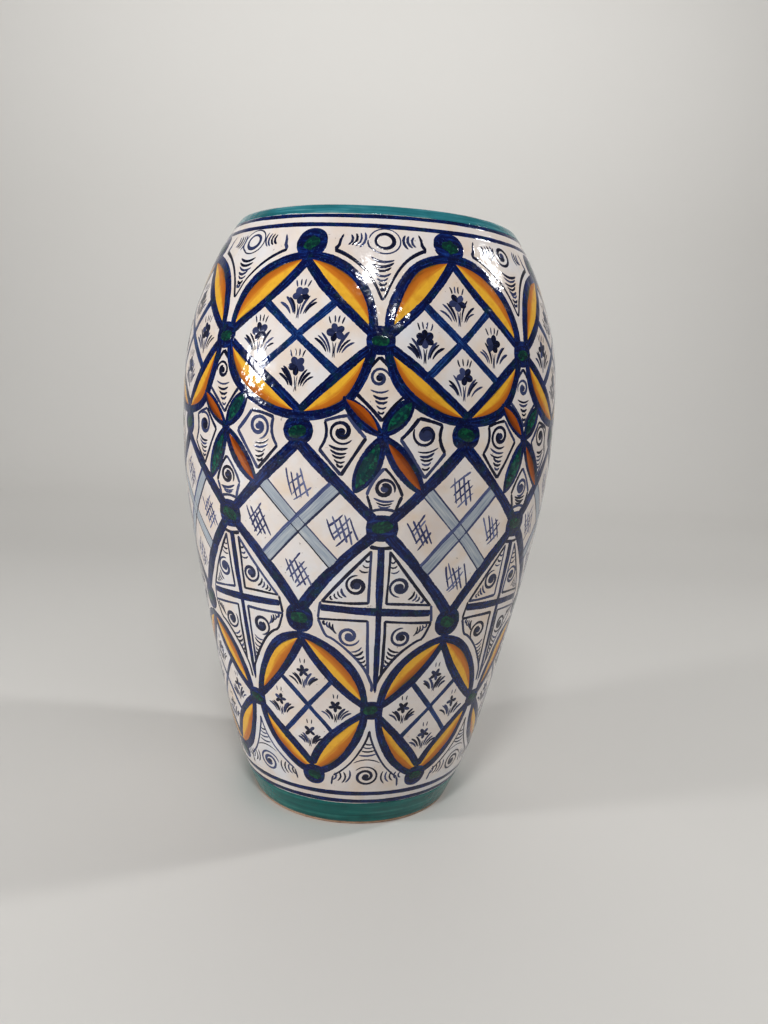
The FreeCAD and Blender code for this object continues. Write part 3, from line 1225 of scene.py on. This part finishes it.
def top_spandrel(column):
    """Between the circles, under the shoulder line: a ring or a coil, commas each side and a tail of
    smiles."""
    tip = spot(column, 0.855)
    for side in (-1, 1):
        follow = [ring_place(UPPER, column + side, -side * t, 4.9) for t in range(19, 72, 5)]
        follow = [p for p in follow if p[1] > tip[1] + 1.5]
        stroke("lines", curved(follow + [tip]), lambda t: 1.7 - 0.6 * t, 0.8, 0.8)
        corner = follow[0]
        bracket = curved(
            [
                corner, beside(corner, -side * 1.6, 2.2), beside(corner, -side * 1.9, 4.6),
                beside(corner, -side * 3.0, 7.6)
            ]
        )
        stroke("lines", bracket, lambda t: 1.9 - 0.8 * t, 0.5, 2.0)
        for i in range(hand.choice((3, 4, 4))):
            right = side * (13.4 - i * 1.8)
            smile(
                beside(spot(column, 0.943), right, jitter(0.3)), 5.2 + i * 0.9, 1.5, 1.2 + jitter(0.25),
                -side * (80 + jitter(6))
            )
    centre = beside(spot(column, 0.942), jitter(1.0), 0)
    if column in COILED_SPANDRELS:
        coil(centre, 6.0, 1.5, hand.choice((-1, 1)), hand.uniform(0, 360), 1.2, 3.4)
    else:
        circle = [
            beside(centre, 4.0 * math.cos(a), 3.6 * math.sin(a)) for a in np.linspace(0, 2 * math.pi, 31)
        ]
        stroke("curls", circle, 1.5, closed=True, step=0.9, swell=0.25)
        arc = [beside(centre, 6.9 * math.cos(a), 6.2 * math.sin(a)) for a in np.linspace(-2.6, 3.0, 31)]
        stroke("curls", arc, 0.7, 3, 3, 1.1)
        smile(beside(centre, -6.0, -2.5), 6, 1.4, 0.9, -55)
    spans = ladder(hand.choice((7, 8)), 11.0, 2.0)
    smiles(spot(column, 0.914), spot(column, 0.872), spans, 1.7, 0, 1.25)


def swelling(full, share=0.75, lean=0.0):
    """The width of a leaf-shaped stroke along its length: widest past its middle when it leans forward."""

    def width(t):
        return full * max(math.sin(math.pi * min(max(t + lean * t * (1 - t), 0), 1)), 0) ** share + 0.1

    return width


def cross_flower(column):
    """Four petals on a knot, rust and green in turn, each with a cobalt margin."""
    centre = spot(column, 0.667)
    tips = (
        ("rust", spot(column - 0.44, 0.719), 8.4, 5.0),
        ("leaf", spot(column + 0.36, 0.719), 9.2, 6.2),
        ("leaf", spot(column - 0.34, 0.584), 9.8, 7.0),
        ("rust", spot(column + 0.46, 0.586), 9.6, 5.6),
    )
    for paint, tip, full, core in tips:
        end = between(centre, tip, 1.03)
        stroke("margins", bowed(centre, end, jitter(0.8)), swelling(full, 0.62), 0.5, 0.5, 1.4, swell=0)
        inner = bowed(between(centre, tip, 0.14), between(centre, tip, 0.95), jitter(0.5))
        stroke(paint, inner, swelling(core, 0.7), 0.5, 0.5, 1.4, swell=0.02)
    dab("margins", centre, 5.4, 5.0)


def flower_cells(column):
    """The four cells round the cross flower, each a thin outline with a coil and a ladder of smiles."""
    top = [spot(column, 0.776), spot(column - 0.27, 0.724), spot(column, 0.688), spot(column + 0.27, 0.724)]
    outline(top, (-1.4, 0.4, 0.4, -1.4))
    coil(spot(column, 0.748), 4.2, 1.3, hand.choice((-1, 1)), hand.uniform(20, 160), 1.1, 3.0)
    smiles(spot(column, 0.729), spot(column, 0.700), ladder(5, 8.5, 2.6), 1.2)
    for side in (-1, 1):
        cell = [
            spot(column + side * 0.41, 0.694),
            spot(column + side * 0.69, 0.685),
            spot(column + side * 0.74, 0.645),
            spot(column + side * 0.49, 0.608),
            spot(column + side * 0.20, 0.663),
        ]
        bows = (0.3, -1.9, 0.2, 0.0, -0.3)
        outline(cell, [side * b for b in bows])
        heavy = hand.random() < 0.4
        middle = spot(column + side * 0.49, 0.671)
        coil(middle, 5.6, 1.0 if heavy else 1.5, -side, hand.uniform(60, 200), 1.2, 6.4 if heavy else 3.4)
        smiles(
            spot(column + side * 0.53, 0.648), spot(column + side * 0.51, 0.622), ladder(5, 8.8, 3.4), 1.2,
            side * 12
        )
    base = [
        spot(column, 0.620),
        spot(column - 0.20, 0.580),
        spot(column - 0.14, 0.556),
        spot(column + 0.14, 0.556),
        spot(column + 0.21, 0.580),
    ]
    outline(base, (-0.9, 0.3, 1.1, 0.3, -0.9), 1.5)
    coil(spot(column, 0.590), 4.6, 1.4, hand.choice((-1, 1)), hand.uniform(20, 160), 1.3, 3.6)
    smiles(spot(column, 0.573), spot(column, 0.564), ladder(3, 9.0, 6.0), 1.1)


def kite(column):
    """The kite under a knot: a cobalt cross, and four outlined corners filled with coils and commas."""
    stroke(
        "bars", straight(spot(column, 0.503), spot(column + 0.03, 0.262)), lambda t: 3.4 - 1.3 * t, 0.6, 9.0,
        1.3
    )
    stroke("bars", straight(spot(column - 0.71, 0.402), spot(column + 0.71, 0.399)), 3.7, 0.8, 0.8, 1.3)
    outline([spot(column - 0.14, 0.503), spot(column + 0.14, 0.503)], [-0.7], 1.8, False)
    for side in (-1, 1):
        high = spot(column + side * 0.12, 0.495)
        inner = spot(column + side * 0.11, 0.414)
        outer = spot(column + side * 0.68, 0.412)
        outline([high, inner, outer], (0.2, 0.2, 0.3), 1.35)
        coil(spot(column + side * 0.27, 0.441), 5.0, 1.4, side, hand.uniform(0, 360), 1.2, 3.8)
        smiles(
            spot(column + side * 0.20, 0.464), spot(column + side * 0.16, 0.480), ladder(3, 4.2, 2.2), 0.9,
            side * 12, 0.9
        )
        smiles(
            spot(column + side * 0.42, 0.428), spot(column + side * 0.56, 0.419), ladder(4, 5.2, 2.0), 1.0,
            side * 60, 1.0
        )
        far = spot(column + side * 0.74, 0.383)
        inner = spot(column + side * 0.11, 0.385)
        low = spot(column + side * 0.10, 0.296)
        outline([far, inner, low], (0.1, 0.1), 1.35, False)
        edge = [ring_place(LOWER, column + side, -side * t, 5.2) for t in range(20, 78, 5)]
        edge = [p for p in edge if p[1] < far[1] - 1.5 and p[1] > 0.272 * pot_height]
        stroke("lines", curved([far] + edge + [spot(column + side * 0.03, 0.264)]), 1.35, 0.8, 0.8)
        nook = curved([spot(column + side * 0.70, 0.412), spot(column + side * 0.725, 0.396), far])
        stroke("lines", nook, 1.3, 0.6, 0.6)
        coil(spot(column + side * 0.34, 0.358), 5.2, 1.4, -side, hand.uniform(0, 360), 1.2, 3.6)
        smiles(
            spot(column + side * 0.24, 0.336), spot(column + side * 0.16, 0.310), ladder(5, 6.0, 2.4), 1.1,
            -side * 24, 1.0
        )
        smiles(
            spot(column + side * 0.53, 0.368), spot(column + side * 0.66, 0.377), ladder(4, 5.8, 2.4), 1.0,
            side * 75, 1.1
        )


def foot_spandrel(column):
    """Between the lower circles, above the foot's lines: a coil with commas, and three small strokes over
    it."""
    tip = spot(column, 0.193)
    for side in (-1, 1):
        follow = [ring_place(LOWER, column + side, -side * t, 4.9) for t in range(104, 160, 6)]
        follow = [p for p in follow if p[1] < tip[1] - 2]
        stroke("lines", curved([tip] + follow), 1.0, 0.8, 0.8)
        corner = follow[-1]
        stroke(
            "lines", straight(corner, beside(corner, side * 0.5, -2.4), beside(corner, side * 1.0, -6.2)),
            1.0, 0.8, 0.8
        )
        for i in range(hand.choice((4, 5))):
            right = side * (8.4 + i * 2.2)
            smile(
                beside(spot(column, 0.102), right, jitter(0.4)), 8.2 - i * 1.1, 1.4, 1.0,
                -side * (80 + jitter(6))
            )
    coil(spot(column, 0.104), 6.4, 1.9, hand.choice((-1, 1)), hand.uniform(0, 360), 1.0, 3.2)
    smiles(spot(column, 0.168), spot(column, 0.146), ladder(4, 4.0, 8.0), 0.9, 0, 1.0)
    smile(spot(column, 0.134), 13.5, -2.2, 0.7)


def leaves(place, root_down, reach, count):
    """Leaf strokes that rise in a V from the bottom of a small diamond, with a pale stem of two hairs."""
    root = beside(place, 0, -root_down)
    for side in (-1, 1):
        stem = bowed(beside(root, side * 0.5, 1.0), beside(root, side * 0.8, root_down * 0.75), side * 0.4)
        stroke("leaves", stem, 0.55, 1.5, 2.0, 1.2, swell=0)
        for i in range(count):
            share = (i + 0.6) / count
            slope = math.radians(90 - side * (18 + 34 * share) + jitter(4))
            start = reach * (0.22 + 0.16 * share)
            length = reach * (1.0 - 0.12 * share) * (1 + jitter(0.1))
            base = beside(root, math.cos(slope) * start, math.sin(slope) * start)
            tip = beside(root, math.cos(slope) * length, math.sin(slope) * length)
            stroke(
                "leaves", bowed(base, tip, side * 0.9), hand.uniform(0.9, 1.6), length * 0.55, length * 0.25,
                1.0, swell=0
            )


def upper_flower(place):
    """A dark blossom of four or five dabs over a V of leaves, with a few hairs above it."""
    petals = hand.choice((5, 5, 6))
    middle = beside(place, jitter(0.4), 1.6)
    start = hand.uniform(0, 360)
    for i in range(petals):
        a = math.radians(start + 360 * i / petals)
        dab(
            "blossoms", beside(middle, 2.2 * math.cos(a), 2.1 * math.sin(a)), 4.0 + jitter(0.4),
            3.2 + jitter(0.4), math.degrees(a)
        )
    leaves(place, 10.2, 13.0, 3)
    for i in range(4):
        base = beside(middle, (i - 1.5) * 1.6, 4.4 - abs(i - 1.5) * 0.5)
        tip = beside(base, (i - 1.5) * 0.8 + jitter(0.3), 3.2)
        stroke("leaves", bowed(base, tip, jitter(0.3)), 0.75, 1.2, 1.4, 0.9, swell=0)


def lower_flower(place):
    """A small open blossom of four or five long dabs over leaves that lean away from it."""
    petals = hand.choice((4, 5))
    middle = beside(place, jitter(0.4), 2.0)
    start = hand.uniform(0, 360)
    for i in range(petals):
        a = math.radians(start + 360 * i / petals)
        dab(
            "blossoms", beside(middle, 1.7 * math.cos(a), 1.7 * math.sin(a)), 3.3 + jitter(0.3),
            1.9 + jitter(0.2), math.degrees(a)
        )
    leaves(place, 8.2, 10.4, 3)
    for i in (-1, 1):
        base = beside(middle, i * 0.9, 4.2)
        stroke("leaves", bowed(base, beside(base, i * 0.3, 2.6), jitter(0.2)), 0.6, 1.0, 1.2, 0.9, swell=0)


def blue_line(name, node):
    """A line drawn round on the wheel, where the CAD node lies: it wavers a little in height and width."""
    low, high = (corner.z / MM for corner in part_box(node))
    middle, width = (low + high) / 2, high - low
    phase = hand.uniform(0, 6.28)
    path = []
    for i in range(361):
        a = math.radians(i)
        path.append((i, middle + 0.18 * math.sin(2 * a + phase) + 0.1 * math.sin(5 * a + 2 * phase)))
    stroke(name, path, width, closed=True, step=1.3, swell=0.07)


def paint_ornament():
    for column in COLUMNS:
        circle_panel("upper", UPPER, column, upper_flower)
        circle_panel("lower", LOWER, column, lower_flower)
    discs_and_knots()
    big_diamonds()
    for column in COLUMNS:
        top_spandrel(column + 1)
        cross_flower(column + 1)
        flower_cells(column + 1)
        kite(column + 1)
        foot_spandrel(column + 1)
    blue_line("rim_line", "rim_blue_line")
    blue_line("shoulder_line", "shoulder_blue_line")
    blue_line("foot_upper_line", "foot_upper_blue_line")
    blue_line("foot_lower_line", "foot_lower_blue_line")


# Each kind of stroke: piece name, material, record slot, body and root in mm, shake, wobble, hairs, replaced
# nodes.
STROKE_KINDS = {
    "wash": ("wash_crosses", WASH, "pale_blue_wash", 0.030, 0.05, 0.7, 0.25, 12, ()),
    "amber_upper": ("amber_petals_upper", AMBER, "amber_paint", 0.035, 0.05, 0.6, 0.15, 20, ()),
    "amber_lower": ("amber_petals_lower", AMBER, "amber_paint", 0.035, 0.05, 0.6, 0.15, 20, ()),
    "drag": ("wash_cross_edges", DRAG, "pale_blue_wash", 0.045, 0.05, 0.7, 0.30, 8, ()),
    "cross": ("cobalt_inner_crosses", COBALT_THIN, "cobalt_paint", 0.050, 0.05, 0.7, 0.30, 8, ()),
    "cobalt": ("cobalt_lattice", COBALT, "cobalt_paint", 0.075, 0.06, 0.7, 0.45, 8, ()),
    "bars": ("cobalt_kite_crosses", COBALT, "cobalt_paint", 0.060, 0.05, 0.6, 0.40, 8, ()),
    "margins": ("cobalt_flower_margins", COBALT, "cobalt_paint", 0.070, 0.05, 0.6, 0.35, 12, ()),
    "discs": ("cobalt_discs", COBALT, "cobalt_paint", 0.100, 0.06, 0.6, 0.55, 16, ()),
    "centres": ("green_disc_centres", CENTRE, "leaf_green_paint", 0.150, 0.05, 0.6, 0.90, 12, ()),
    "rust": ("rust_flower_petals", RUST, "rust_paint", 0.110, 0.05, 0.6, 0.20, 12, ()),
    "leaf": ("green_flower_petals", LEAF, "leaf_green_paint", 0.110, 0.05, 0.6, 0.30, 12, ()),
    "lines": ("cell_outlines", LINE, "black_line_paint", 0.040, 0.05, 0.6, 0.22, 6, ()),
    "net": ("net_strokes", THIN_LINE, "black_line_paint", 0.030, 0.05, 0.6, 0.18, 6, ()),
    "curls": ("coils_and_commas", LINE, "black_line_paint", 0.045, 0.05, 0.5, 0.18, 6, ()),
    "blossoms": ("blossoms", LINE, "black_line_paint", 0.055, 0.05, 0.5, 0.30, 8, ()),
    "leaves": ("leaf_strokes", LINE, "black_line_paint", 0.045, 0.05, 0.5, 0.18, 6, ()),
    "rim_line": ("rim_blue_ring", COBALT, "cobalt_paint", 0.060, 0.05, 0.2, 0.30, 10, ("rim_blue_line",)),
    "shoulder_line": (
        "shoulder_blue_ring", COBALT, "cobalt_paint", 0.060, 0.05, 0.2, 0.30, 10, ("shoulder_blue_line",)
    ),
    "foot_upper_line": (
        "foot_upper_blue_ring", COBALT, "cobalt_paint", 0.060, 0.05, 0.2, 0.30, 10, ("foot_upper_blue_line",)
    ),
    "foot_lower_line": (
        "foot_lower_blue_ring", COBALT, "cobalt_paint", 0.060, 0.05, 0.2, 0.30, 10, ("foot_lower_blue_line",)
    ),
}


def lay_strokes(glaze):
    tree = brush_tree()
    made = []
    for kind, (name, material, slot, body, root, shake, wobble, hairs, replaced) in STROKE_KINDS.items():
        source = line_object(f"{name}_paths", paints[kind])
        values = {
            "Glaze": glaze,
            "Body": body * MM,
            "Root": root * MM,
            "Hand Shake": shake * MM,
            "Shake Length": 14 * MM,
            "Edge Wobble": wobble * MM,
            "Edge Length": 2.6 * MM,
            "Hairs": hairs,
            "Seed": 11,
            "Material": material,
        }
        piece = finished_piece(name, source, tree, values)
        if replaced:
            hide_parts(*replaced)
        made.append(piece)
    return made


#
#
#
#
#
#
# --------------------------------------------------------------------------------------------------
# Floor, lights and camera
#
#
#
#
#
#
# --------------------------------------------------------------------------------------------------


def floor_and_backdrop():
    """A plain pale surface that curves up behind the vase."""
    sweep = [(-3.0, 0.0), (1.0, 0.0)]
    sweep += [(1.0 + 0.6 * math.sin(a), 0.6 - 0.6 * math.cos(a)) for a in np.linspace(0.1, math.pi / 2, 12)]
    sweep.append((1.6, 4.0))
    vertices = [(x, y, z) for x in (-4.0, 4.0) for y, z in sweep]
    count = len(sweep)
    faces = [(i, i + count, i + count + 1, i + 1) for i in range(count - 1)]
    mesh = bpy.data.meshes.new("floor")
    mesh.from_pydata(vertices, [], faces)
    mesh.polygons.foreach_set("use_smooth", [True] * len(mesh.polygons))
    floor = bpy.data.objects.new("floor", mesh)
    bpy.context.scene.collection.objects.link(floor)
    material = bpy.data.materials.new("pale_paper")
    material.use_nodes = True
    shader = material.node_tree.nodes["Principled BSDF"]
    shader.inputs["Base Color"].default_value = linear("#d2d0cc")
    shader.inputs["Roughness"].default_value = 0.6
    mesh.materials.append(material)


def softbox(name, azimuth, elevation, distance, wide, tall, power, aim):
    """An area light at an azimuth from -Y towards +X, aimed at a height on the axis."""
    a, e = math.radians(azimuth), math.radians(elevation)
    light = bpy.data.lights.new(name, "AREA")
    light.shape = "RECTANGLE"
    light.size, light.size_y, light.energy = wide, tall, power
    lamp = bpy.data.objects.new(name, light)
    away = Vector((math.sin(a) * math.cos(e), -math.cos(a) * math.cos(e), math.sin(e)))
    target = Vector((0, 0, aim))
    lamp.location = target + away * distance
    lamp.rotation_mode = "QUATERNION"
    lamp.rotation_quaternion = (-away).to_track_quat("-Z", "Y")
    bpy.context.scene.collection.objects.link(lamp)
    return lamp


def lights():
    aim = cad_box[1].z * 0.75
    softbox("window_left", -68, 8, 1.3, 0.16, 0.28, 6.5, aim)
    softbox("window_right", 97, 38, 1.3, 0.10, 0.20, 4, aim)
    softbox("ceiling_lamp", -6, 48, 1.4, 0.20, 0.07, 5, aim)
    softbox("kitchen_lamp", 12, 33, 1.6, 0.07, 0.04, 1.6, aim)
    for name, azimuth, elevation, power in (
        ("front_fill", 14, 56, 6.0), ("side_fill", -60, 30, 1.4), ("back_fill", 180, 60, 3.5)
    ):
        fill = softbox(name, azimuth, elevation, 1.9, 1.2, 0.8, power, aim)
        fill.visible_glossy = False
    wall = softbox("wall_wash", 180, 58, 1.1, 2.6, 0.5, 9, aim)
    wall.rotation_quaternion = Vector((0, 1, 0.0)).to_track_quat("-Z", "Y")
    wall.visible_glossy = False
    world = bpy.data.worlds.new("studio")
    world.use_nodes = True
    world.node_tree.nodes["Background"].inputs["Color"].default_value = linear("#e8e8ea")
    world.node_tree.nodes["Background"].inputs["Strength"].default_value = 0.165
    bpy.context.scene.world = world


def plain_display():
    """The colours are shown as they are mixed: paints stay as deep as their names say, and glints burn
    out."""
    bpy.context.scene.view_settings.view_transform = "Standard"
    bpy.context.scene.view_settings.look = "Medium High Contrast"


def camera():
    """Eye level just under the lip and a little tilted, at about one and a half times the pot's height
    away."""
    pot = cad_box[1].z
    distance, eye = 1.531 * pot, 0.754 * pot
    yaw, pitch, roll = (math.radians(v) for v in (1.31, 9.02, 3.0))
    forward = Vector((math.sin(yaw) * math.cos(pitch), math.cos(yaw) * math.cos(pitch), -math.sin(pitch)))
    level = Vector((math.cos(yaw), -math.sin(yaw), 0))
    over = level.cross(forward)
    right = level * math.cos(roll) + over * math.sin(roll)
    up = over * math.cos(roll) - level * math.sin(roll)
    data = bpy.data.cameras.new("camera")
    data.sensor_width, data.lens = 36.0, 30.06
    data.clip_start, data.clip_end = 0.01, 50
    eye_point = bpy.data.objects.new("camera", data)
    turn = Matrix((right, up, -forward)).transposed().to_4x4()
    eye_point.matrix_world = Matrix.Translation((0, -distance, eye)) @ turn
    bpy.context.scene.collection.objects.link(eye_point)
    bpy.context.scene.camera = eye_point


#
#
#
#
#
#
# --------------------------------------------------------------------------------------------------

clay()
glaze_outside = outside_coat()
made_pieces = [glaze_outside, inside_coat(), rim_band(), foot_band()]
paint_ornament()
made_pieces += lay_strokes(glaze_outside)
for piece in made_pieces:
    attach(piece, "root")
floor_and_backdrop()
lights()
plain_display()
camera()
